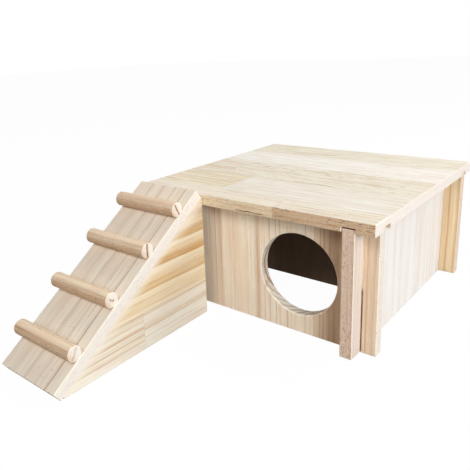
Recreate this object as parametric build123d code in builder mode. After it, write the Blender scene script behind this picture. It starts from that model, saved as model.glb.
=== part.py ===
"""Small-animal house with a lift-off roof and a free-standing ramp.

The house is five upright boards under a flat roof board, all glued up from narrow pine staves.
The four outer walls cross near their ends in cross-halving joints, each slot about half the
wall's height, and the roof drops over them: grooves in its underside take their tops.
A divider in housings of the side walls makes two chambers, with a doorway in its corner.
The ramp is a sloping deck on two three-cornered cheeks, with four round rungs on top.

Millimetres, +Z up, +Y towards the back of the house. The origin is on the floor, under the
middle of the whole set's bounding box.
"""

import os
from math import cos, radians, sin, tan

from build123d import *

os.makedirs("parts", exist_ok=True)

# House
stock = 10.0                    # thickness of the boards of the house
roof_width = 230.0              # along X
roof_depth = 230.0              # along Y
house_height = 111.0            # floor to the top of the roof
ease = 0.8                      # rounding of the boards' arrises
wall_inset = 15.5               # outer face of a wall, in from the edge of the roof
front_setback = 2.7             # ends of the front wall, in from the edges of the roof
back_setback = 0.3              # ends of the back wall
side_setback = 0.8              # ends of the side walls

# Roof grooves and the joints between the walls
groove_depth = 4.2
groove_play = 0.6               # each side of a wall in its groove
side_top_gap = 1.1              # side walls stop this far under their grooves
halving_height = 57.5           # the side walls' slots reach up to here, the others' down to here
side_slot_play = 0.4            # each side of a long wall in a side wall's slot
long_slot_play = 0.15           # each side of a side wall in a long wall's slot
housing_depth = 3.3             # housings for the divider, cut into the side walls
housing_play = 0.2              # all round the divider's ends

# Entrance and divider
entrance_diameter = 70.0
entrance_from_edge = 70.5       # centre, in from the right-hand edge of the roof
entrance_height = 51.2          # centre, up from the floor
entrance_ease = 1.2
divider_from_front = 113.0      # front face, back from the front edge of the roof
doorway_width = 50.0            # from the inner face of the right-hand wall
doorway_height = 62.0
doorway_radius = 20.0

# Staves: the glue lines of each board, counted from its left or front end, or from the floor
stave_width = 53.2
least_stave = 8.0
roof_first_stave = 22.0
roof_butt_joints = (146.0, 77.0, 40.0)      # the first staves are butted from two lengths
front_first_stave = 65.3
back_first_stave = 38.0
side_first_stave = 79.2
divider_first_stave = 30.0
deck_lap = 0.7                  # the deck's narrow stave laps over the cheek's inner face
cheek_first_stave = 32.0
cheek_butt_joint = 78.0         # the lowest stave is butted here, forward of the cheek's back

# Ramp
ramp_angle = 34.4               # slope of the deck, in degrees
crest_drop = 2.35               # top corner of the deck's underside, below the top of the roof
deck_width = 66.8
deck_stock = 9.0
deck_from_edge = 8.2            # left edge of the deck, in from the left edge of the roof
deck_setback = 1.6              # top corner of the deck's underside, forward of the cheeks' backs
ramp_gap = 0.5                  # cheeks' backs to the front edge of the roof
ramp_ease = 0.6
cheek_stock = 10.0
cheek_toe = 2.0                 # height of the cheeks' blunt front ends
rung_diameter = 12.5
rung_flat = 0.6                 # planed off each rung's underside, where it is glued on
rung_length = 68.2
rung_overhang = 1.8             # left ends of the rungs, out past the left edge of the deck
rung_from_foot = 29.4           # middle of the lowest rung, up the slope from the foot
rung_from_top = 26.9            # middle of the highest rung, down from the top of the deck
rung_strays = (0.0, 0.4, 2.2, 0.0)      # how far up each rung strays from even steps
rung_shifts = (-0.2, -0.7, 0.1, 0.8)    # how far to the right each rung strays
rung_ease = 0.6

# Levels and places that follow from the sizes above
roof_underside = house_height - stock
wall_height = roof_underside + groove_depth

rise = sin(radians(ramp_angle))
run = cos(radians(ramp_angle))
deck_length = (house_height - crest_drop) / rise    # along the slope
corner_loss = ramp_ease * (rise + run - 1)
ramp_reach = ramp_gap + deck_setback + deck_length * run + deck_stock * rise - corner_loss

roof_left = -roof_width / 2
roof_right = roof_width / 2
roof_front = (ramp_reach - roof_depth) / 2
roof_back = roof_front + roof_depth

front_face = roof_front + wall_inset                # outer face of the front wall
back_face = roof_back - wall_inset - stock          # inner face of the back wall
left_face = roof_left + wall_inset                  # outer face of the left-hand wall
right_face = roof_right - wall_inset - stock        # inner face of the right-hand wall
divider_face = roof_front + divider_from_front


def glue_lines(start, stop, first):
    """Edges of the staves from start to stop: one of the first width, then equal ones."""
    lines = [start]
    place = start + first
    while place < stop - least_stave:
        lines.append(place)
        place += stave_width
    return lines + [stop]


def write_stave(board, name, low, high):
    """Cut the box from low to high out of a board, and write that stave as a piece."""
    size = [far - near for near, far in zip(low, high)]
    middle = [(far + near) / 2 for near, far in zip(low, high)]
    with BuildPart() as stave:
        add(board.part)
        with Locations(tuple(middle)):
            Box(*size, mode=Mode.INTERSECT)
    stave.part.label = name
    export_step(stave.part, f"parts/{name}.step")


def write_staves(board, name, axis, lines):
    """Split a board across one axis (0 = X, 1 = Y, 2 = Z) at its glue lines."""
    box = board.part.bounding_box()
    for number, (near, far) in enumerate(zip(lines, lines[1:]), 1):
        low = [box.min.X, box.min.Y, box.min.Z]
        high = [box.max.X, box.max.Y, box.max.Z]
        low[axis] = near
        high[axis] = far
        write_stave(board, f"{name}_stave_{number}", low, high)


# Roof: one board, grooved underneath for the four walls
roof_corner = (roof_left, roof_front, roof_underside)
groove_width = stock + 2 * groove_play
groove_middle = roof_underside + groove_depth / 2
with BuildPart() as roof:
    with Locations(roof_corner):
        Box(roof_width, roof_depth, stock, align=Align.MIN)
    fillet(roof.edges(), ease)
    for face in (front_face, back_face):
        with Locations((0, face + stock / 2, groove_middle)):
            Box(roof_width, groove_width, groove_depth, mode=Mode.SUBTRACT)
    for face in (left_face, right_face):
        with Locations((face + stock / 2, roof_front + roof_depth / 2, groove_middle)):
            Box(groove_width, roof_depth, groove_depth, mode=Mode.SUBTRACT)

roof_lines = glue_lines(roof_front, roof_back, roof_first_stave)
for number, (near, far) in enumerate(zip(roof_lines, roof_lines[1:]), 1):
    low = (roof_left, near, roof_underside)
    high = (roof_right, far, house_height)
    if number > len(roof_butt_joints):
        write_stave(roof, f"roof_stave_{number}", low, high)
    else:
        butt = roof_left + roof_butt_joints[number - 1]
        write_stave(roof, f"roof_stave_{number}_left", low, (butt, far, house_height))
        write_stave(roof, f"roof_stave_{number}_right", (butt, near, roof_underside), high)


def long_wall(face, setback):
    """A wall along X with its front at face, slotted from the top for the side walls."""
    slot_width = stock + 2 * long_slot_play
    slot_height = wall_height - halving_height
    with BuildPart() as wall:
        with Locations((roof_left + setback, face, 0)):
            Box(roof_width - 2 * setback, stock, wall_height, align=Align.MIN)
        fillet(wall.edges(), ease)
        for side in (left_face, right_face):
            with Locations((side + stock / 2, face + stock / 2, halving_height + slot_height / 2)):
                Box(slot_width, stock, slot_height, mode=Mode.SUBTRACT)
    return wall


# Front wall, with the round entrance
with BuildPart() as front_wall:
    add(long_wall(front_face, front_setback).part)
    with BuildSketch(Plane.XZ.offset(-front_face)) as entrance:
        with Locations((roof_right - entrance_from_edge, entrance_height)):
            Circle(entrance_diameter / 2)
    extrude(amount=-stock, mode=Mode.SUBTRACT)
    rims = front_wall.edges().filter_by(GeomType.CIRCLE).group_by(SortBy.RADIUS)[-1]
    fillet(rims, entrance_ease)

front_lines = glue_lines(roof_left + front_setback, roof_right - front_setback, front_first_stave)
write_staves(front_wall, "front_wall", 0, front_lines)

# Back wall, plain
back_wall = long_wall(back_face, back_setback)
back_lines = glue_lines(roof_left + back_setback, roof_right - back_setback, back_first_stave)
write_staves(back_wall, "back_wall", 0, back_lines)


def side_wall(face, housing):
    """A wall along Y, slotted from below for the long walls, with a housing for the divider.

    The wall's left face is at face; housing is the middle of its housing along X.
    """
    slot_width = stock + 2 * side_slot_play
    side_height = wall_height - side_top_gap
    with BuildPart() as wall:
        with Locations((face, roof_front + side_setback, 0)):
            Box(stock, roof_depth - 2 * side_setback, side_height, align=Align.MIN)
        fillet(wall.edges(), ease)
        for crossing in (front_face, back_face):
            with Locations((face + stock / 2, crossing + stock / 2, halving_height / 2)):
                Box(stock, slot_width, halving_height, mode=Mode.SUBTRACT)
        with Locations((housing, divider_face + stock / 2, side_height / 2)):
            Box(housing_depth, stock + 2 * housing_play, side_height, mode=Mode.SUBTRACT)
    return wall


# Side walls: a mirrored pair, so each housing faces inwards
side_lines = glue_lines(roof_front + side_setback, roof_back - side_setback, side_first_stave)
left_wall = side_wall(left_face, left_face + stock - housing_depth / 2)
right_wall = side_wall(right_face, right_face + housing_depth / 2)
write_staves(left_wall, "left_wall", 1, side_lines)
write_staves(right_wall, "right_wall", 1, side_lines)

# Divider, with a doorway in its lower right-hand corner
divider_left = left_face + stock - housing_depth + housing_play
divider_right = right_face + housing_depth - housing_play
divider_height = roof_underside - housing_play
with BuildPart() as divider:
    with Locations((divider_left, divider_face, 0)):
        Box(divider_right - divider_left, stock, divider_height, align=Align.MIN)
    with BuildSketch(Plane.XZ.offset(-divider_face)) as doorway:
        with BuildLine():
            door_left = right_face - doorway_width
            shoulder = doorway_height - doorway_radius
            FilletPolyline((door_left, 0), (door_left, doorway_height), (divider_right, doorway_height),
                           radius=doorway_radius)
            Polyline((divider_right, doorway_height), (divider_right, 0), (door_left, 0))
        make_face()
    extrude(amount=-stock, mode=Mode.SUBTRACT)

write_staves(divider, "divider", 0, glue_lines(divider_left, divider_right, divider_first_stave))

# Ramp: the deck's section lies in a YZ plane and slopes up to the front edge of the roof
deck_left = roof_left + deck_from_edge
deck_right = deck_left + deck_width
cheek_back = roof_front - ramp_gap
crest = (cheek_back - deck_setback, deck_length * rise)         # top corner of the underside
foot = (crest[0] - deck_length * run, 0)                        # low corner of the underside


def on_slope(up, out):
    """The (Y, Z) of a point so far up the slope from the foot and so far out of the underside."""
    return (foot[0] + up * run - out * rise, foot[1] + up * rise + out * run)


with BuildPart() as deck:
    with BuildSketch(Plane.YZ.offset(deck_left)):
        with BuildLine():
            Polyline(on_slope(0, 0), on_slope(deck_length, 0), on_slope(deck_length, deck_stock),
                     on_slope(0, deck_stock), close=True)
        make_face()
    extrude(amount=deck_width)
    uphill = Axis((0, 0, 0), (0, run, rise))
    glued = deck.edges().filter_by(uphill).sort_by(Axis.Z)[:2]
    fillet(deck.edges() - glued, ramp_ease)

deck_joint = deck_right - cheek_stock - deck_lap
write_staves(deck, "ramp_deck", 0, (deck_left, deck_joint, deck_right))

# Cheeks: the boards that carry the deck, flush with its long edges, their staves level
toe = (foot[0] + cheek_toe / tan(radians(ramp_angle)), cheek_toe)
cheek_lines = glue_lines(0, crest[1], cheek_first_stave)
cheek_butt = cheek_back - cheek_butt_joint
for side, near in (("left", deck_left), ("right", deck_right - cheek_stock)):
    with BuildPart() as cheek:
        with BuildSketch(Plane.YZ.offset(near)):
            with BuildLine():
                Polyline((toe[0], 0), (cheek_back, 0), (cheek_back, crest[1]), crest, toe, close=True)
            make_face()
        extrude(amount=cheek_stock)
        fillet(cheek.faces().sort_by(Axis.Y)[-1].edges().filter_by(Axis.Z), ramp_ease)
        fillet(cheek.faces().sort_by(Axis.Z)[0].edges().filter_by(Axis.Y), ramp_ease)
    box = cheek.part.bounding_box()
    for number, (bottom, top) in enumerate(zip(cheek_lines, cheek_lines[1:]), 1):
        name = f"ramp_{side}_cheek_stave_{number}"
        low = (near, box.min.Y, bottom)
        high = (near + cheek_stock, cheek_back, top)
        if number == 1:
            write_stave(cheek, f"{name}_front", low, (near + cheek_stock, cheek_butt, top))
            write_stave(cheek, f"{name}_back", (near, cheek_butt, bottom), high)
        else:
            write_stave(cheek, name, low, high)

# Rungs: round rods with a narrow flat glued to the deck, numbered from the foot
deck_top = Plane(origin=(0, *on_slope(0, deck_stock)), z_dir=(0, -rise, run))
rung_step = (deck_length - rung_from_foot - rung_from_top) / (len(rung_strays) - 1)
for number, (stray, shift) in enumerate(zip(rung_strays, rung_shifts)):
    place = rung_from_foot + number * rung_step + stray
    middle = deck_left - rung_overhang + shift + rung_length / 2
    centre = on_slope(place, deck_stock + rung_diameter / 2 - rung_flat)
    with BuildPart() as rung:
        with Locations(Location((middle, *centre), (0, 90, 0))):
            Cylinder(rung_diameter / 2, rung_length)
        fillet(rung.edges().filter_by(GeomType.CIRCLE), rung_ease)
        split(bisect_by=deck_top, keep=Keep.TOP)
    rung.part.label = f"rung_{number + 1}"
    export_step(rung.part, f"parts/rung_{number + 1}.step")
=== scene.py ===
"""Wood finishes and a studio stage for a small hamster house of glued pine board.

Every board comes from the CAD frame as separate staves, and each stave gets a solid wood of its
own: growth rings round a pith somewhere beside the stave, fibres along it, end grain at its
ends and glue lines where it meets its neighbours. Shader lengths are in millimetres.
"""

import math

import bpy
import numpy as np
from mathutils import Matrix, Vector


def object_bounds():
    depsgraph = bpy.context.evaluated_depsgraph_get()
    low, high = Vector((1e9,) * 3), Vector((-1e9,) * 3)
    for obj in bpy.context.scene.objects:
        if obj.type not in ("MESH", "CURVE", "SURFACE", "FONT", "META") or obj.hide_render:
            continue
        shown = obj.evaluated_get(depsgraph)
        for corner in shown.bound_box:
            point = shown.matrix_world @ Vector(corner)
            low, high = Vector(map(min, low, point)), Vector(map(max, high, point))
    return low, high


bl_info = {
    "name": "Pine Hamster House",
    "version": (1, 0, 0),
    "blender": (4, 5, 0),
    "location": "3D View > Sidebar > Hamster House",
    "description": "Gives the staves of a pine hamster house their wood, and sets up its stage",
    "category": "Material",
}

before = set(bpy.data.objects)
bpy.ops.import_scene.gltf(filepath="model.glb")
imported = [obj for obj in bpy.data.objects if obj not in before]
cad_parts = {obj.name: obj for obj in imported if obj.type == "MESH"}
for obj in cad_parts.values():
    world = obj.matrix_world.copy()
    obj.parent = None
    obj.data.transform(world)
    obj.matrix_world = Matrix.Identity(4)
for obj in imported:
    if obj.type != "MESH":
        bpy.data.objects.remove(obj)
cad_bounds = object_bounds()

MM = 1000.0         # millimetres per metre of the frame
RELIEF = 0.00012    # depth of the wood's relief, in metres
SHINE = 0.35        # specular level of bare planed wood


# Shader maths

class Value:
    """A number that varies over a surface: a socket, with Math nodes behind its operators."""

    def __init__(self, tree, socket):
        self.tree = tree
        self.socket = socket

    def math(self, operation, *others, clamp=False):
        node = self.tree.nodes.new("ShaderNodeMath")
        node.operation = operation
        node.use_clamp = clamp
        for place, item in enumerate((self, *others)):
            if isinstance(item, Value):
                self.tree.links.new(item.socket, node.inputs[place])
            else:
                node.inputs[place].default_value = item
        return Value(self.tree, node.outputs[0])

    def __add__(self, other):
        return self.math("ADD", other)

    __radd__ = __add__

    def __sub__(self, other):
        return self.math("SUBTRACT", other)

    def __rsub__(self, other):
        return self.math("MULTIPLY_ADD", -1.0, other)

    def __mul__(self, other):
        return self.math("MULTIPLY", other)

    __rmul__ = __mul__

    def __truediv__(self, other):
        return self.math("DIVIDE", other)

    def __pow__(self, other):
        return self.math("POWER", other)

    def __abs__(self):
        return self.math("ABSOLUTE")

    def most(self, other):
        return self.math("MAXIMUM", other)

    def clamped(self):
        return self.math("ADD", 0.0, clamp=True)

    def falling(self, start, end):
        """1 up to start, then smoothly down to 0 at end."""
        return 1 - self.rising(start, end)

    def rising(self, start, end):
        """0 up to start, then smoothly up to 1 at end."""
        node = self.tree.nodes.new("ShaderNodeMapRange")
        node.interpolation_type = "SMOOTHSTEP"
        self.tree.links.new(self.socket, node.inputs["Value"])
        node.inputs["From Min"].default_value = start
        node.inputs["From Max"].default_value = end
        return Value(self.tree, node.outputs["Result"])


class Surface:
    """A material in the making, with short ways to add nodes to it."""

    def __init__(self, name):
        self.material = bpy.data.materials.new(name)
        self.material.use_nodes = True
        self.tree = self.material.node_tree
        self.tree.nodes.clear()

    def node(self, kind, settings=None, **sockets):
        """Add a node: its settings first, then the values or links of its sockets."""
        node = self.tree.nodes.new(kind)
        for key, setting in (settings or {}).items():
            setattr(node, key, setting)
        for key, item in sockets.items():
            socket = node.inputs[key.replace("_", " ")]
            if isinstance(item, Value):
                self.tree.links.new(item.socket, socket)
            elif isinstance(item, bpy.types.NodeSocket):
                self.tree.links.new(item, socket)
            else:
                socket.default_value = item
        return node

    def vector(self, x, y, z):
        node = self.node("ShaderNodeCombineXYZ", X=x, Y=y, Z=z)
        return node.outputs[0]

    def noise(self, vector, detail=2.0, roughness=0.5):
        """Noise with cells of about one unit of the vector, from 0 to 1 round one half."""
        node = self.node("ShaderNodeTexNoise", Vector=vector, Scale=1.0, Detail=detail,
                         Roughness=roughness)
        return Value(self.tree, node.outputs["Fac"])

    def ramp(self, value, *stops):
        """Numbers along a value: each stop is a place from 0 to 1 and the number there."""
        node = self.node("ShaderNodeValToRGB", Fac=value)
        elements = node.color_ramp.elements
        while len(elements) < len(stops):
            elements.new(0.5)
        for element, (place, number) in zip(elements, stops):
            element.position = place
            element.color = (number, number, number, 1)
        return Value(self.tree, node.outputs["Color"])

    def dot(self, vector, direction):
        """How far a vector reaches along a fixed direction."""
        node = self.node("ShaderNodeVectorMath", {"operation": "DOT_PRODUCT"})
        self.tree.links.new(vector, node.inputs[0])
        node.inputs[1].default_value = direction
        return Value(self.tree, node.outputs["Value"])

    def mix(self, amount, base, top, blend="MIX"):
        """Colour top over colour base, by amount."""
        node = self.node("ShaderNodeMix", {"data_type": "RGBA", "blend_type": blend})
        for place, item in ((0, amount), (6, base), (7, top)):
            socket = node.inputs[place]
            if isinstance(item, Value):
                self.tree.links.new(item.socket, socket)
            elif isinstance(item, bpy.types.NodeSocket):
                self.tree.links.new(item, socket)
            else:
                socket.default_value = item
        return node.outputs[2]

    def finish(self, color, roughness, height):
        """Close the material with a dull surface and fine relief."""
        bump = self.node("ShaderNodeBump", Strength=1.0, Distance=RELIEF, Height=height)
        shader = self.node("ShaderNodeBsdfPrincipled", Base_Color=color, Roughness=roughness,
                           Normal=bump.outputs[0])
        shader.inputs["Specular IOR Level"].default_value = SHINE
        output = self.node("ShaderNodeOutputMaterial")
        self.tree.links.new(shader.outputs[0], output.inputs["Surface"])
        return self.material


def linear(red, green, blue):
    """The shader colour of a colour as it looks, with its parts from 0 to 255."""
    parts = []
    for part in (red, green, blue):
        share = part / 255
        parts.append(share / 12.92 if share < 0.04045 else ((share + 0.055) / 1.055) ** 2.4)
    return (*parts, 1.0)


# Pine

class Grain:
    """How the wood lies in a stave: which of X, Y and Z run along, across and through it.

    Across is the width of the stave and through its thickness, after a turn about X.
    """

    def __init__(self, along, across, through, turn=0.0):
        self.axes = (along, across, through)
        self.turn = turn

    def direction(self, part):
        """The unit vector along (0), across (1) or through (2) the stave."""
        line = Vector((0, 0, 0))
        line[self.axes[part]] = 1
        return Matrix.Rotation(self.turn, 3, "X") @ line

    def reach(self, node, part):
        """Where a node begins and ends along one of those directions, in millimetres."""
        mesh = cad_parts[node].data
        points = np.empty(len(mesh.vertices) * 3, np.float32)
        mesh.vertices.foreach_get("co", points)
        places = points.reshape(-1, 3) @ np.array(self.direction(part)) * MM
        return float(places.min()), float(places.max())


X, Y, Z = range(3)


class Stave(Surface):
    """One stave's solid pine in the making: where a point lies in it, and its colour so far.

    along, across and through are that place in millimetres. flat, edge and end are masks of
    the broad faces, the long sawn edges and the end grain.
    """

    def __init__(self, name, grain, look):
        super().__init__(name)
        self.look = look
        self.wanted = bpy.context.scene.house_finish
        self.seed = look["seed"] * SEED_STEP
        self.where = self.node("ShaderNodeTexCoord").outputs["Object"]
        placed = self.node("ShaderNodeMapping", {"vector_type": "TEXTURE"}, Vector=self.where,
                           Rotation=(grain.turn, 0, 0), Scale=(1 / MM, 1 / MM, 1 / MM))
        split = self.node("ShaderNodeSeparateXYZ", Vector=placed.outputs[0])
        self.along, self.across, self.through = [
            Value(self.tree, split.outputs[place]) for place in grain.axes]
        self.reach = [grain.reach(name, part) for part in range(3)]
        self.middle = [(low + high) / 2 for low, high in self.reach]
        self.facing = self.node("ShaderNodeNewGeometry").outputs["True Normal"]
        self.square = [abs(self.dot(self.facing, grain.direction(part))) for part in (2, 1, 0)]
        self.flat, self.edge, self.end = [share.rising(0.45, 0.75) for share in self.square]

    def stained(self, color):
        """A colour under the stain that is wanted."""
        return tuple(part * share for part, share in zip(color, (*self.wanted.stain, 1.0)))

    def lay(self, amount, color):
        """Lay a colour, stained, over the wood by amount."""
        self.color = self.mix(amount, self.color, self.stained(color))

    def streaks(self, length, width, detail=2.0, roughness=0.5, shifted=(0,)):
        """Noise in cells of a length along the stave and a width across and through it.

        The stave's seed is added along (0), across (1) or through (2), so that no two staves
        are alike.
        """
        places = [self.along / length, self.across / width, self.through / width]
        for part in shifted:
            places[part] = places[part] + self.seed
        return self.noise(self.vector(*places), detail, roughness)

    def grow(self):
        """Growth rings, which swing a little from end to end, and bands.

        The ring number at a point is its distance from the pith over the ring width; its
        fraction gives the soft rise from pale early wood to dark late wood and the sharp fall
        after it. Bands are broad rings with a place of their own across the stave.
        """
        look, seed = self.look, self.seed
        ring = look["ring"] * self.wanted.ring_scale
        bends = self.vector(self.along / WAVE + seed, self.across / BEND, self.through / BEND)
        swing = (self.noise(bends) - 0.5) * SWING
        beside = self.across - (self.middle[1] + look["pith"][0]) + swing
        below = self.through - (self.middle[2] + look["pith"][1]) + swing * 0.6
        radius = (beside * beside + below * below) ** 0.5
        uneven = self.noise(self.vector(radius / (ring * 2.6), seed + 4, seed), 1.0)
        count = radius / ring + uneven * look["uneven"]
        late = self.ramp(count.math("FRACT"), *look["rise"])
        year = self.node("ShaderNodeTexWhiteNoise", {"noise_dimensions": "1D"},
                         W=count.math("FLOOR") + seed)
        self.late = late * (Value(self.tree, year.outputs["Value"]) * 0.6 + 0.4)
        self.rings = self.late * look["contrast"]
        if look["bands"]:
            wander = self.noise(self.vector(self.along / 60 + seed, 0.0, seed), 1.0) - 0.5
            place = self.across - self.reach[1][0] + wander * look["drift"]
            stops = [(far / BAND_REACH, dark) for far, dark in look["bands"]]
            bands = self.ramp(place / BAND_REACH, *stops)
            self.rings = self.rings + bands * look["banding"]

    def draw_fibres(self):
        """How dark the wood is: its rings, with fine lines and fibres along the grain."""
        look = self.look
        lines = self.streaks(190, 1.9, 3.0, 0.7)
        dashes = self.streaks(26, 4, 3.0, 0.65, shifted=(0, 2))
        self.fibre = self.streaks(26, 0.9, 3.0, 0.65)
        self.hair = self.streaks(9, 0.3, 2.0, 0.6, shifted=(1,))
        self.cloud = self.streaks(38, 18, shifted=(1,))
        shade = self.rings + lines.rising(0.5, 0.68) * look["lines"]
        shade = shade + (self.fibre - 0.5) * look["fibres"]
        shade = shade + (self.hair - 0.5) * look["fibres"] * 0.8
        shade = shade - self.cloud.rising(0.45, 0.75) * 0.1
        shade = shade + (dashes.rising(0.5, 0.66) - dashes.falling(0.34, 0.46)) * look["dashes"]
        if look["figure"]:
            slanted = self.across / 3.2 + self.along / 14
            ripple = self.noise(self.vector(self.along / 9, slanted, self.seed), 2.0, 0.6)
            ripple = ripple.rising(0.52, 0.66) * self.cloud.rising(0.3, 0.6)
            shade = shade + ripple * look["figure"]
        self.shade = shade.clamped()

    def color_faces(self):
        """The broad faces, the long sawn edges and the end grain, coloured in turn."""
        look = self.look
        broad = self.streaks(160, 8, shifted=(0, 2))
        spots = self.streaks(3.6, 0.9, 1.0)
        pores = self.streaks(9, 0.6, 3.0, 0.7, shifted=())
        self.patches = self.streaks(45, 11, 2.0, 0.6)
        self.chips = self.streaks(5, 2.5, 2.0, 0.6)
        self.color = self.mix(self.shade, self.stained(look["early"]), self.stained(look["late"]))
        self.lay(broad.rising(0.42, 0.64) * look["tinting"], look["tint"])
        self.lay(self.patches.rising(0.46, 0.62) * look["blush"], BLUSH)
        self.color = self.mix(self.edge, self.color, self.sawn_edge())
        cut = self.rings * look["end_rings"] + pores.rising(0.45, 0.8) * 0.35
        cut = (cut + self.late * look["rim"]).clamped()
        cut = self.mix(cut, self.stained(look["end"]), self.stained(look["end_late"]))
        self.color = self.mix(self.end, self.color, cut)
        self.lay(spots.rising(0.69, 0.77) * self.cloud.rising(0.48, 0.62) * look["flecks"], FLECK)
        height = self.fibre * 0.5 + self.hair * 0.35 + self.late * 0.3
        self.height = height + (pores - height) * self.end
        self.rough = 0.6 + self.fibre * 0.14 + self.end * 0.12

    def sawn_edge(self):
        """The colour of the long edges: gritty from the saw and torn out here and there, with a
        dark ragged line along the lower arris where broken is given.
        """
        look = self.look
        grit = self.streaks(1.8, 0.9, 3.0, 0.75, shifted=(1,))
        splinters = self.streaks(5, 0.7, 2.0, 0.6)
        dark = (self.shade * 0.6 + (grit - 0.4) * 1.5 + self.late * look["rim"]).clamped()
        sawn = self.mix(dark, self.stained(look["edge"]), self.stained(look["edge_late"]))
        torn = splinters.rising(0.56, 0.66) * self.cloud.rising(0.3, 0.55) * look["torn"]
        # a dark ragged line along the lower arris
        if look["broken"]:
            start, stop = look["broken"]
            above = self.through - self.reach[2][0]
            lip = abs(above - 0.6 - splinters * 2.4).falling(0.2, 0.7)
            lip = lip * self.along.rising(start, start + 3) * self.along.falling(stop - 3, stop)
            torn = torn.most(lip)
        return self.mix(torn, sawn, self.stained(TORN))

    def paint_arris_light(self):
        """Painted light on the rounded arrises: a pale colour is a painted highlight where they
        catch the light, and the roof's darker one is painted shade that holds that light back.
        They are chipped here and there.

        The wall of a hole turns through all directions, so it is left out: the hole's own
        rounded arris starts where the distance past its radius is 0.
        """
        look, (flat, edge, end) = self.look, self.square
        arris = flat.most(edge).most(end).falling(0.8, 0.95)
        if look["hole"]:
            middle_x, middle_z, radius = look["hole"]
            aside, above = self.across - middle_x, self.along - middle_z
            past = (aside * aside + above * above) ** 0.5 - radius
            arris = arris * past.rising(0.02, 0.15)
        self.lay((arris * look["wear"] * self.wanted.wear).clamped(), look["worn"])
        self.lay(arris * self.chips.rising(0.62, 0.72) * 0.6, FLECK)
        self.height = self.height - arris * self.chips.rising(0.55, 0.7) * 1.5

    def split_ends(self):
        """A split across the ends: a wandering dark line, shaded to both sides."""
        angle, length, strength = self.look["crack"]
        tilt, rest = math.cos(angle), math.sin(angle)
        right, up = self.across - self.middle[1], self.through - self.middle[2]
        bends = self.vector(right / 3 + self.seed, up / 3, self.seed)
        wander = self.noise(bends, 2.0, 0.7) - 0.5
        off = abs(right * tilt + up * rest + wander * 2.5)
        inside = abs(right * -rest + up * tilt).falling(length - 1.0, length) * self.end
        self.lay(off.falling(0.3, 2.2) * inside * strength * 0.7, self.look["end_late"])
        opened = off.falling(0.2, 0.8) * inside * strength
        self.lay(opened, CRACK)
        self.height = self.height - opened * 2.0

    def sand(self):
        """Sanded paler next to the slope of the ramp, most of all near its crest."""
        lie, slope, depth = self.look["sanded"]
        back = self.reach[0][1]
        crest = self.along.rising(back - 40, back)
        below = slope - self.dot(self.where, lie) * MM - crest * 5 + (self.patches - 0.5) * 8
        self.lay(below.falling(0, depth) * self.flat * 0.7, SANDED_AND_SHEEN)

    def shade_inside(self):
        """Painted shade: faces turned to the inside of the house are darkened, as the shade
        inside it.
        """
        turned = self.dot(self.facing, self.look["inner"]).rising(0.5, 0.9)
        self.color = self.mix(turned, self.color, INSIDE_SHADE, "MULTIPLY")

    def shade_top_end(self):
        """Painted shadow on the front of the top end, in the gap under the roof that is fitted
        over it.
        """
        front, top = self.reach[1][0] + self.look["grimy"], self.reach[0][1]
        top_shadow = self.end * self.along.rising(top - 2, top - 1)
        self.lay(top_shadow * self.across.falling(front - 2, front), GAP_SHADOW)

    def draw_slot_shadow(self):
        """Painted shadow: a dark line in the gap beside a slot where another board passes
        through.
        """
        side, low, high = self.look["dirt"]
        line = abs(self.across - side).falling(0.3, 0.8)
        line = line * self.along.rising(low, low + 2) * self.along.falling(high - 6, high)
        self.lay((line * self.flat * (0.5 + self.chips)).clamped(), GAP_SHADOW)

    def glue_up(self, seams, butts):
        """Glue lines and butted ends: a hair of darker glue."""
        for place, joints in ((self.across, seams), (self.along, butts)):
            for joint in joints:
                line = abs(place - joint).falling(0.05, 0.35) * (0.2 + self.cloud)
                line = line * self.look["glue"]
                self.lay(line, GLUE)
                self.height = self.height - line * 0.5


def pine(name, grain, look, seams=(), butts=()):
    """A solid pine for one stave.

    seams are the places of its glue lines across the stave, and butts those along it where
    another length is butted on, in millimetres from the frame's origin.
    """
    stave = Stave(name, grain, look)
    stave.grow()
    stave.draw_fibres()
    stave.color_faces()
    extras = {"wear": stave.paint_arris_light, "crack": stave.split_ends, "sanded": stave.sand,
              "inner": stave.shade_inside, "grimy": stave.shade_top_end, "dirt": stave.draw_slot_shadow}
    for key, step in extras.items():
        if look[key]:
            step()
    stave.glue_up(seams, butts)
    return stave.finish(stave.color, stave.rough, stave.height)


FLECK = linear(150, 108, 74)
TORN = linear(122, 72, 48)
# painted shadow in narrow gaps: beside a slot and on a top end under the roof
GAP_SHADOW = linear(104, 66, 46)
# painted shade multiplied into faces that turn to the inside of the house
INSIDE_SHADE = linear(205, 196, 186)
BLUSH = linear(226, 184, 158)
# pale as sanded wood, and the painted highlight on the arrises
SANDED_AND_SHEEN = linear(252, 242, 224)
CRACK = linear(128, 84, 54)
GLUE = linear(150, 118, 88)

SEED_STEP = 7.31        # keeps the noises of two staves apart
WAVE = 160.0            # millimetres along a stave in which its rings swing out and back
SWING = 6.0             # millimetres from side to side that they may swing
BEND = 50.0             # millimetres across a stave in which its rings bend
BAND_REACH = 64.0       # millimetres across a stave that its bands may use
SANDED = 9.0            # millimetres down from the slope to which a cheek is sanded

# How dark the wood is at parts of a ring's width
SOFT = ((0.0, 0.1), (0.35, 0.0), (0.65, 0.4), (0.82, 1.0), (0.92, 0.6), (1.0, 0.1))
THIN = ((0.0, 0.2), (0.1, 0.0), (0.6, 0.1), (0.84, 0.5), (0.93, 1.0), (0.97, 0.7), (1.0, 0.2))


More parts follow.
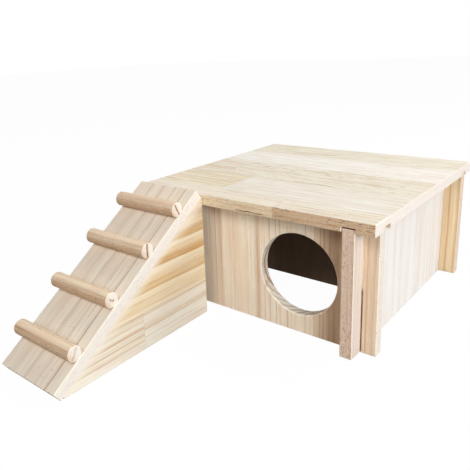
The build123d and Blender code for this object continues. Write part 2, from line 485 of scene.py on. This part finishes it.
def tone(seed, **changes):
    """One stave's look: the plain pine of this house, with what differs.

    early and late are the colours of the two kinds of wood in a ring, edge and end the same
    for the sawn edges and the end grain, tint colours broad streaks, and worn is the
    painted light on the arrises: a painted highlight where it is pale, painted shade where it is
    dark.

    pith is where the middle of the tree lay, across and through from the stave's middle, ring
    the width of a ring and rise how its wood darkens. uneven makes the rings differ in width,
    contrast is their strength, and end_rings and rim bring them out on the end grain and on
    the sawn edges. bands are places, in millimetres from the stave's lower edge, with how dark
    the wood is there, banding their strength and drift how far they wander.

    broken is where along the stave a dark ragged line runs along the lower arris of its edge,
    dirt a dark line of painted shadow beside a slot (place across, low end, high end),
    grimy how far back from the front the top end is painted dark, as shadow under the roof,
    hole the entrance, sanded what sanding() gives, inner the way to the inside of the
    house, whose faces get painted shade, and crack the angle, half length and strength of a split
    in the ends. The other numbers are the strengths of the finer marks.
    """
    look = {
        "seed": seed,
        "early": linear(238, 222, 196),
        "late": linear(202, 164, 120),
        "tint": linear(222, 188, 156),
        "edge": linear(230, 206, 174),
        "edge_late": linear(194, 156, 120),
        "end": linear(240, 226, 202),
        "end_late": linear(206, 172, 132),
        "pith": (-70.0, -60.0),
        "ring": 6.0,
        "rise": SOFT,
        "contrast": 0.5,
        "bands": (),
        "banding": 1.0,
        "drift": 2.2,
        "lines": 0.25,
        "tinting": 0.4,
        "fibres": 0.35,
        "figure": 0.0,
        "uneven": 1.5,
        "flecks": 0.5,
        "blush": 0.0,
        "torn": 0.2,
        "broken": None,
        "dashes": 0.0,
        "dirt": None,
        "hole": None,
        "grimy": None,
        "sanded": None,
        "inner": None,
        "worn": SANDED_AND_SHEEN,
        "wear": 0.5,
        "end_rings": 0.8,
        "rim": 0.0,
        "crack": None,
        "glue": 0.5,
    }
    look.update(changes)
    return look


def dress(node, material):
    """Give a CAD node its material in place of the plain one."""
    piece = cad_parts[node]
    piece.data.materials.clear()
    piece.data.materials.append(material)


def dress_board(prefix, grain, looks):
    """Dress each stave of a board with the look of its name.

    A glue line or a butted end lies wherever a stave stops short of the board's own edge.
    """
    names = sorted(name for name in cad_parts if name.startswith(prefix))
    reaches = {name: (grain.reach(name, 0), grain.reach(name, 1)) for name in names}
    for name in names:
        joints = []
        for part in (0, 1):
            low = min(reach[part][0] for reach in reaches.values())
            high = max(reach[part][1] for reach in reaches.values())
            start, stop = reaches[name][part]
            near = [start] if start > low + 1 else []
            far = [stop] if stop < high - 1 else []
            joints.append(near + far)
        look = looks[name[len(prefix):]]
        dress(name, pine(name, grain, look, seams=joints[1], butts=joints[0]))


class HouseFinish(bpy.types.PropertyGroup):
    stain: bpy.props.FloatVectorProperty(
        name="Stain", description="Colour the bare wood is stained with; white leaves it bare",
        default=(1.0, 1.0, 1.0), min=0.0, max=1.0, subtype="COLOR")
    ring_scale: bpy.props.FloatProperty(
        name="Ring widths", description="Makes all growth rings wider or narrower",
        default=1.0, min=0.2, max=5.0)
    # how strong the painted highlight and painted shade on the arrises are
    wear: bpy.props.FloatProperty(
        name="Worn edges", description="How pale the rounded edges are rubbed",
        default=1.0, min=0.0, max=2.0)
    lamps: bpy.props.FloatProperty(
        name="Lamps", description="Strength of the four soft boxes together",
        default=1.0, min=0.0, max=10.0)
    daylight: bpy.props.FloatProperty(
        name="Daylight", description="Strength of the even light from all round",
        default=0.2, min=0.0, max=2.0)
    camera_lens: bpy.props.FloatProperty(
        name="Lens", description="Focal length of the camera on a 36 mm sensor",
        default=41.3, min=20.0, max=120.0, subtype="DISTANCE_CAMERA", unit="CAMERA")


class HAMSTER_OT_roof(bpy.types.Operator):
    """Dress the roof's staves, their grain running left to right"""
    bl_idname = "hamster.roof"
    bl_label = "Finish Roof"

    def execute(self, context):
        # the roof's arrises take a darker colour: painted shade against the light they catch
        common = {"end": linear(250, 241, 232), "end_late": linear(237, 220, 205),
                  "end_rings": 0.6, "glue": 0.25, "lines": 0.65, "fibres": 0.7,
                  # the roof's underside gets painted shade
                  "inner": (0, 0, -1), "wear": 0.7, "worn": linear(206, 188, 166)}
        pale = {"early": linear(250, 246, 238), "late": linear(212, 195, 166),
                "tint": linear(236, 225, 209), **common}
        straw = {"early": linear(241, 235, 219), "late": linear(200, 178, 144),
                 "tint": linear(226, 212, 187), **common}
        gold = {"early": linear(242, 232, 210), "late": linear(198, 170, 128),
                "tint": linear(224, 204, 168), **common}
        # the front edge keeps the pale arris colour: a painted highlight along its top arris
        cream = {"early": linear(245, 237, 221), "late": linear(208, 184, 152),
                 "tint": linear(234, 218, 196), **common, "worn": SANDED_AND_SHEEN, "wear": 0.8}
        dull = {**cream, "early": linear(241, 233, 216), "tint": linear(228, 213, 190)}
        soft = {**pale, "early": linear(243, 238, 227), "tint": linear(229, 217, 199)}
        dress_board("roof_stave", Grain(X, Y, Z), {
            "_1_left": tone(1, **cream, flecks=0.9, ring=4.5, torn=0.5, dashes=0.3,
                            broken=(-6, 24), edge=linear(240, 222, 190),
                            edge_late=linear(200, 162, 122)),
            "_1_right": tone(2, **dull, flecks=1.4, ring=4.0, torn=1.8, blush=0.1, dashes=0.3,
                             edge=linear(227, 198, 164), edge_late=linear(166, 118, 82)),
            "_2_left": tone(3, **gold, ring=3.2, dashes=0.3),
            "_2_right": tone(4, **soft, ring=4.0, blush=0.1, dashes=0.3),
            "_3_left": tone(5, **straw, ring=3.4, blush=0.3, tinting=0.8, dashes=0.35),
            "_3_right": tone(6, **straw, figure=0.5, ring=3.4, dashes=0.35),
            "_4": tone(7, **pale, ring=5.0, blush=0.1, dashes=0.3),
            "_5": tone(8, **straw, ring=3.6, dashes=0.35),
        })
        return {"FINISHED"}


class HAMSTER_OT_walls(bpy.types.Operator):
    """Dress the upright boards, their grain running up"""
    bl_idname = "hamster.walls"
    bl_label = "Finish Walls"

    def execute(self, context):
        wide, deep = Grain(Z, X, Y), Grain(Z, Y, X)
        tan = {"early": linear(255, 243, 222), "late": linear(210, 170, 134),
               "tint": linear(249, 227, 197), "contrast": 0.3,
               "edge": linear(248, 232, 210), "edge_late": linear(196, 148, 108),
               "end": linear(252, 240, 218), "end_late": linear(204, 158, 122),
               "fibres": 0.65, "end_rings": 0.9, "drift": 1.4, "wear": 0.9}
        # the divider is coloured dark brown: painted shade of the closed house round it
        divider_in_shade = {"early": linear(142, 114, 88), "late": linear(108, 80, 58),
                  "tint": linear(124, 94, 70), "lines": 0.4, "wear": 0.0}
        # faces turned inside the house get painted shade
        front = {**tan, "inner": (0, 1, 0), "hole": entrance()}
        shaded = {**front, "lines": 0.2, "tinting": 0.25, "blush": 0.15}
        holed = {**front, "rim": 1.4, "end_rings": 0.2, "edge": linear(255, 248, 232),
                 "edge_late": linear(182, 148, 118), "end": linear(255, 248, 232),
                 "end_late": linear(176, 142, 112)}
        golden = {"early": linear(246, 224, 186), "late": linear(206, 160, 110),
                  "tint": linear(234, 200, 156), "rise": THIN, "contrast": 0.35, "lines": 0.45,
                  "edge": linear(248, 238, 224), "edge_late": linear(220, 190, 160)}
        # stave 4 is coloured darker in part as painted shade, where the strip beside it shades it
        shaded_brown = {**front, "early": linear(240, 216, 187), "late": linear(180, 138, 104),
                 "tint": linear(224, 188, 154), "edge": linear(250, 243, 234),
                 "edge_late": linear(230, 210, 188)}
        white = {"early": linear(255, 252, 246), "late": linear(230, 209, 191),
                 "tint": linear(251, 240, 231), "rise": THIN, "contrast": 0.35, "lines": 0.5,
                 "uneven": 3.0, "end": linear(244, 232, 214), "blush": 0.06,
                 "edge": linear(245, 222, 200), "edge_late": linear(207, 172, 147), "wear": 0.9}
        second = ((0, 0.35), (6, 0.35), (7.3, 0.75), (8, 0.3), (9, 0.45), (14, 0.5), (16, 0.1),
                  (19, 0.05), (25, 0.1), (28, 0.4), (30, 0.25), (32, 0.0), (38, 0.1), (50, 0.1),
                  (52.6, 0.6), (53.2, 0.7))
        third = ((0, 0.7), (1.8, 0.5), (3, 0.1), (5.5, 0.1), (6.5, 0.4), (8, 0.1), (11, 0.1),
                 (11.8, 0.7), (12.8, 0.1), (17, 0.1), (17.8, 0.6), (18.8, 0.1), (21, 0.15),
                 (21.8, 0.7), (22.8, 0.1), (28, 0.1), (28.8, 0.75), (29.8, 0.1), (32, 0.1),
                 (32.8, 0.6), (33.8, 0.1), (45, 0.1), (45.8, 0.7), (46.8, 0.15), (53.2, 0.2))
        # the dark bands from about 12 to 25 mm are painted shadow of the strip; the rest are
        # grain
        fourth_and_shadow = ((0, 0.2), (4.6, 0.2), (5.6, 0.7), (6.6, 0.3), (7.8, 0.35), (8.6, 0.8),
                  (9.6, 0.4), (12.6, 0.55), (13.6, 0.95), (14.6, 0.7), (22, 0.75), (25, 0.3),
                  (40, 0.1), (43, 0.1), (44, 0.4), (46, 0.1), (53, 0.1))
        outside = ((0, 0.5), (12, 0.5), (16, 0.05), (50, 0.0))
        outer = ((0, 0.1), (16.5, 0.35), (18, 0.1), (21, 0.15), (22.8, 0.6), (24.2, 0.05),
                 (28, 0.0), (29.2, 0.35), (30.4, 0.65), (31.8, 0.5))
        dress_board("front_wall_stave", wide, {
            "_1": tone(21, **shaded, ring=5.0, pith=(-60, 50)),
            "_2": tone(22, **front, ring=9.0, pith=(-100, 20), bands=second, blush=0.12,
                       tinting=0.6),
            "_3": tone(23, **holed, ring=5.0, pith=(-84, 92), bands=third, blush=0.12,
                       tinting=0.6),
            "_4": tone(24, **shaded_brown, ring=5.0, pith=(-60, -60), bands=fourth_and_shadow,
                       # painted shadow in the gap beside the side wall that passes through
                       dirt=(100.2, 0, 56)),
        })
        dress_board("back_wall_stave", wide, {
            f"_{number}": tone(30 + number, **golden, ring=4.6 + number % 3,
                               pith=(40 - 25 * number, -70), drift=2.8,
                               bands=outer if number == 5 else ())
            for number in range(1, 6)})
        dress_board("divider_stave", wide, {
            f"_{number}": tone(40 + number, **divider_in_shade, ring=5.0 + number % 2,
                               pith=(-30 + 20 * number, 60)) for number in range(1, 5)})
        for seed, board in enumerate(("left_wall_stave", "right_wall_stave")):
            dress_board(board, deep, {
                f"_{number}": tone(50 + 6 * seed + number, **white, ring=5.0 + number % 3,
                                   pith=(20 * number - 80, 60), torn=0.6,
                                   # the inner face gets painted shade
                                   inner=(1 - 2 * seed, 0, 0),
                                   # painted shadow on the front stave's top end, under the roof
                                   grimy=7.0 if number == 1 else None,
                                   bands=outside if number == 1 else ())
                for number in range(1, 5)})
        return {"FINISHED"}


class HAMSTER_OT_ramp(bpy.types.Operator):
    """Dress the ramp's deck, cheeks and rungs"""
    bl_idname = "hamster.ramp"
    bl_label = "Finish Ramp"

    def execute(self, context):
        slope = deck_slope()
        grey = {"early": linear(243, 231, 213), "late": linear(190, 167, 139),
                "tint": linear(233, 215, 194), "contrast": 0.15, "ring": 4.0,
                "edge": linear(251, 244, 235), "edge_late": linear(238, 221, 204),
                "end": linear(244, 230, 208), "glue": 1.8, "fibres": 1.0}
        streaks = ((0, 0.3), (1.5, 0.05), (13, 0.05), (16.4, 0.4), (18, 0.2), (20, 0.0),
                   (28, 0.05), (30.6, 0.45), (32, 0.25), (34, 0.0), (41, 0.05),
                   (43.6, 0.4), (45, 0.2), (47, 0.0), (53, 0.1), (56, 0.35))
        dress_board("ramp_deck_stave", Grain(Y, X, Z, slope), {
            "_1": tone(61, **grey, bands=streaks, flecks=0.8, blush=0.12),
            "_2": tone(62, **grey),
        })
        gold = {"early": linear(255, 242, 213), "late": linear(214, 165, 98),
                "tint": linear(243, 219, 170), "rise": THIN, "contrast": 0.2, "ring": 4.0,
                "lines": 0.4, "tinting": 0.35, "edge": linear(255, 252, 245), "blush": 0.12,
                "edge_late": linear(251, 243, 231), "glue": 0.3, "fibres": 0.5, "torn": 0.05,
                "sanded": sanding()}
        cream = {**gold, "early": linear(255, 250, 236), "late": linear(217, 184, 142),
                 "tint": linear(250, 235, 212), "banding": 1.15}
        crowned = {**gold, "early": linear(250, 232, 196), "late": linear(210, 156, 86),
                   "tint": linear(238, 208, 156)}
        foot = ((0, 0.1), (7, 0.05), (7.6, 0.7), (9.5, 0.25), (12.4, 0.0), (13, 0.75),
                (15, 0.25), (18, 0.0), (18.7, 0.8), (21, 0.25), (24, 0.05), (24.7, 0.75),
                (27, 0.3), (29.8, 0.1), (30.4, 0.8), (32, 0.35))
        low = ((0, 0.15), (10, 0.1), (16.6, 0.1), (17.4, 0.75), (19.5, 0.25), (25, 0.1),
               (29, 0.15), (30.2, 0.8), (31.2, 0.5), (31.8, 0.0))
        middle = ((0, 0.0), (1.6, 0.0), (2.4, 0.25), (8, 0.3), (11, 0.1), (15.6, 0.0),
                  (16.3, 0.8), (21, 0.55), (25, 0.35), (27.5, 0.1), (32.6, 0.0), (33.3, 1.0),
                  (38, 0.8), (41, 0.35), (43.5, 0.05), (47.6, 0.0), (48.4, 0.9), (54, 0.7))
        high = ((0, 0.7), (2, 0.5), (4, 0.15), (9.6, 0.15), (10.4, 0.9), (13.5, 0.7),
                (16, 0.4), (24, 0.45))
        for seed, board in enumerate(("ramp_left_cheek_stave", "ramp_right_cheek_stave")):
            dress_board(board, Grain(Y, Z, X), {
                "_1_front": tone(70 + seed, **cream, bands=foot),
                "_1_back": tone(72 + seed, **cream, bands=low),
                "_2": tone(74 + seed, **gold, bands=middle),
                "_3": tone(76 + seed, **crowned, bands=high),
            })
        rod = {"early": linear(243, 223, 194), "late": linear(184, 143, 106),
               "tint": linear(232, 205, 174), "edge": linear(243, 223, 194),
               "edge_late": linear(184, 143, 106), "end": linear(253, 247, 236),
               "end_late": linear(220, 178, 136), "contrast": 0.25, "ring": 2.6,
               # the bands darken the rungs' low side: painted shade on their undersides
               "bands": ((0, 0.9), (2.2, 0.5), (5, 0.15), (8, 0.0), (12.5, 0.0)),
               "drift": 0.6, "wear": 0.0, "fibres": 0.7, "lines": 0.5, "torn": 0.5, "blush": 0.3}
        cracks = ((-1.12, 5.6, 0.3), (0.5, 3.0, 0.6), (-0.6, 6.2, 1.0), (-0.14, 5.8, 0.8))
        for number, node in enumerate(("rung_1", "rung_2", "rung_3", "rung_4")):
            look = tone(80 + number, **rod, pith=(3 - number, 2 * number - 3),
                        crack=cracks[number])
            dress(node, pine(node, Grain(X, Y, Z, slope), look))
        return {"FINISHED"}


def entrance():
    """The round entrance: its middle, across and up, and its radius, in millimetres."""
    stave = "front_wall_stave_3"
    low, high = Grain(Z, X, Y).reach(stave, 0)
    rim = []
    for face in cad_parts[stave].data.polygons:
        x, z = face.center.x * MM, face.center.z * MM
        leaning = min(abs(face.normal.x), abs(face.normal.z)) > 0.1
        if leaning and abs(face.normal.y) < 0.1 and low + 2 < z < high - 2:
            rim.append((x, z))
    x, z = np.array(rim).T
    equations = np.stack((2 * x, 2 * z, np.ones_like(x)), axis=1)
    middle_x, middle_z, rest = np.linalg.lstsq(equations, x * x + z * z, rcond=None)[0]
    radius = math.sqrt(rest + middle_x ** 2 + middle_z ** 2)
    return float(middle_x), float(middle_z), radius


def sanding():
    """Square to the slope: the direction, the slope's own place along it and a depth, in mm."""
    lie = Matrix.Rotation(deck_slope(), 3, "X") @ Vector((0, 0, 1))
    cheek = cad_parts["ramp_right_cheek_stave_2"].data
    slope = max(vertex.co.dot(lie) for vertex in cheek.vertices) * MM
    return tuple(lie), slope, SANDED


def deck_slope():
    """The slope of the ramp, from the largest face of its deck."""
    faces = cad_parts["ramp_deck_stave_1"].data.polygons
    normal = max(faces, key=lambda face: face.area).normal
    return math.atan2(-normal.y, normal.z) if normal.z > 0 else math.atan2(normal.y, -normal.z)


class HAMSTER_OT_stage(bpy.types.Operator):
    """Set up the pale floor, the soft light and the camera"""
    bl_idname = "hamster.stage"
    bl_label = "Set Up Stage"

    def execute(self, context):
        wanted = context.scene.house_finish
        floor_mesh = bpy.data.meshes.new("floor")
        corners = [(x * FLOOR, y * FLOOR, 0) for x, y in ((-1, -1), (1, -1), (1, 1), (-1, 1))]
        floor_mesh.from_pydata(corners, [], [(0, 1, 2, 3)])
        floor = bpy.data.objects.new("floor", floor_mesh)
        context.scene.collection.objects.link(floor)
        floor_mesh.materials.append(white_floor())
        set_world(context, wanted.daylight)
        for name, place, size, power in SOFT_BOXES:
            soft_light(context, name, place, size, power * wanted.lamps)
        set_camera(context, wanted.camera_lens)
        return {"FINISHED"}


FLOOR = 6.0         # metres from the origin to the floor's edges

SOFT_BOXES = (      # name, place and side in metres, power in watts
    ("key_light", (1.25, -0.75, 0.5), 0.5, 12.9),
    ("front_light", (0.25, -1.1, 1.15), 0.5, 7.1),
    ("side_light", (1.1, 0.8, 0.9), 0.8, 7.6),
    ("back_light", (0.2, 1.0, 1.3), 0.8, 9.4),
)

CAMERA_PLACE = (0.25241, -0.37043, 0.23357)
CAMERA_TURN = (-40.42, 15.40, -2.70)    # degrees: right of the back, down, and leaning
CAMERA_SHIFT = (0.0618, -0.0859)

WHITE = (1, 1, 1, 1)
DIM = (0.27, 0.27, 0.27, 1)     # how much of its light the floor throws back on the boards
GLOW = 0.975                    # share of the floor's own white in what is seen of it


def seen_rays(tree):
    """1 for rays that are seen, straight or in gloss or glass, and 0 for those that light."""
    path = tree.nodes.new("ShaderNodeLightPath")
    seen = Value(tree, path.outputs["Is Camera Ray"])
    for ray in ("Is Glossy Ray", "Is Transmission Ray"):
        seen = seen.most(Value(tree, path.outputs[ray]))
    return seen


def white_floor():
    """A matt white floor that the camera sees as nearly even white."""
    s = Surface("white_floor")
    seen = seen_rays(s.tree)
    matt = s.node("ShaderNodeBsdfDiffuse", Color=s.mix(seen, DIM, WHITE))
    glow = s.node("ShaderNodeEmission", Color=WHITE, Strength=1.0)
    both = s.node("ShaderNodeMixShader", Fac=seen * GLOW)
    s.tree.links.new(matt.outputs[0], both.inputs[1])
    s.tree.links.new(glow.outputs[0], both.inputs[2])
    output = s.node("ShaderNodeOutputMaterial")
    s.tree.links.new(both.outputs[0], output.inputs["Surface"])
    return s.material


def set_world(context, daylight):
    """An even white world: dimmer as light than as it is seen."""
    world = bpy.data.worlds.new("daylight")
    world.use_nodes = True
    context.scene.world = world
    tree = world.node_tree
    tree.nodes.clear()
    strength = seen_rays(tree) * (1 - daylight) + daylight
    back = tree.nodes.new("ShaderNodeBackground")
    back.inputs["Color"].default_value = WHITE
    tree.links.new(strength.socket, back.inputs["Strength"])
    output = tree.nodes.new("ShaderNodeOutputWorld")
    tree.links.new(back.outputs[0], output.inputs["Surface"])


def soft_light(context, name, place, size, power):
    """A square soft box that faces the middle of the house."""
    lamp = bpy.data.lights.new(name, "AREA")
    lamp.shape = "SQUARE"
    lamp.size = size
    lamp.energy = power
    light = bpy.data.objects.new(name, lamp)
    context.scene.collection.objects.link(light)
    low, high = cad_bounds
    middle = (Vector(low) + Vector(high)) / 2
    place = Vector(place)
    light.location = place
    light.rotation_euler = (middle - place).to_track_quat("-Z", "Y").to_euler()


def set_camera(context, lens):
    """A camera in front, to the right and above, looking towards the back left."""
    heading, dip, lean = [math.radians(angle) for angle in CAMERA_TURN]
    ahead = Vector((math.sin(heading) * math.cos(dip),
                    math.cos(heading) * math.cos(dip), -math.sin(dip)))
    right = ahead.cross(Vector((0, 0, 1))).normalized()
    up = right.cross(ahead)
    tilted_right = right * math.cos(lean) + up * math.sin(lean)
    tilted_up = up * math.cos(lean) - right * math.sin(lean)
    camera = bpy.data.objects.new("camera", bpy.data.cameras.new("camera"))
    context.scene.collection.objects.link(camera)
    turned = Matrix((tilted_right, tilted_up, -ahead)).transposed().to_4x4()
    camera.matrix_world = Matrix.Translation(CAMERA_PLACE) @ turned
    camera.data.sensor_width = 36
    camera.data.lens = lens
    camera.data.shift_x, camera.data.shift_y = CAMERA_SHIFT
    context.scene.camera = camera
    context.scene.view_settings.view_transform = "Standard"


class HAMSTER_PT_panel(bpy.types.Panel):
    """The finish's sizes, and a button for each group of pieces"""
    bl_idname = "HAMSTER_PT_panel"
    bl_label = "Hamster House"
    bl_space_type = "VIEW_3D"
    bl_region_type = "UI"
    bl_category = "Hamster House"

    def draw(self, context):
        finish = context.scene.house_finish
        for key in ("stain", "ring_scale", "wear", "lamps", "daylight", "camera_lens"):
            self.layout.prop(finish, key)
        for step in STEPS:
            self.layout.operator(step.bl_idname)


STEPS = (HAMSTER_OT_roof, HAMSTER_OT_walls, HAMSTER_OT_ramp, HAMSTER_OT_stage)
CLASSES = (HouseFinish, *STEPS, HAMSTER_PT_panel)


def register():
    for cls in CLASSES:
        bpy.utils.register_class(cls)
    bpy.types.Scene.house_finish = bpy.props.PointerProperty(type=HouseFinish)


def unregister():
    del bpy.types.Scene.house_finish
    for cls in reversed(CLASSES):
        bpy.utils.unregister_class(cls)


def main():
    register()
    bpy.ops.hamster.roof()
    bpy.ops.hamster.walls()
    bpy.ops.hamster.ramp()
    bpy.ops.hamster.stage()


if __name__ == "__main__":
    main()
